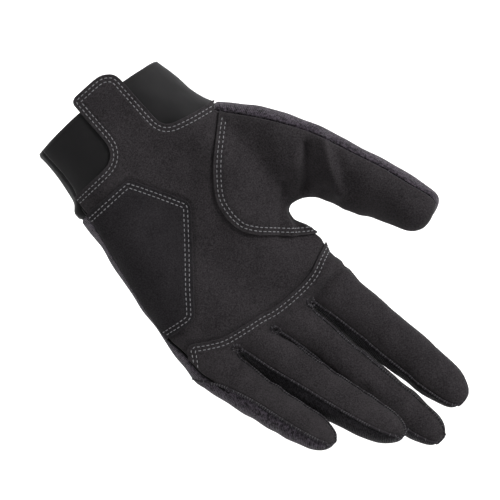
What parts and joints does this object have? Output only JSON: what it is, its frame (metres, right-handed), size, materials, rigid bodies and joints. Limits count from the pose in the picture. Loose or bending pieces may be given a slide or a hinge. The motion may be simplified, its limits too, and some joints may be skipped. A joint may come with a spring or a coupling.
{
  "type": "cycling glove",
  "caption": "Full-finger left-hand glove with a suede palm, knit back and finger sides, a smooth stretch cuff and a pull tab.",
  "frame": {"origin": "centre of the wrist opening", "axes": "-Z along the hand to the fingertips, -Y out of the palm, +X to the thumb's side"},
  "size_m": [0.1393, 0.0601, 0.2272],
  "materials": {
    "suede": "brushed synthetic suede, matt charcoal",
    "knit": "fine stretch knit, matt near black",
    "back_knit": "heathered stretch knit, matt grey",
    "neoprene": "smooth stretch neoprene, soft sheen"
  },
  "bodies": {
    "root": {"cuff_front": "neoprene", "cuff_back": "neoprene", "palm_panel": "suede", "heel_patch": "suede", "thumb_panel": "suede", "finger_panel": "suede", "fourchette_index_middle": "knit", "fourchette_middle_ring": "knit", "fourchette_ring_little": "knit", "back_panel": "back_knit", "thumb_back": "back_knit"}
  },
  "joints": []
}
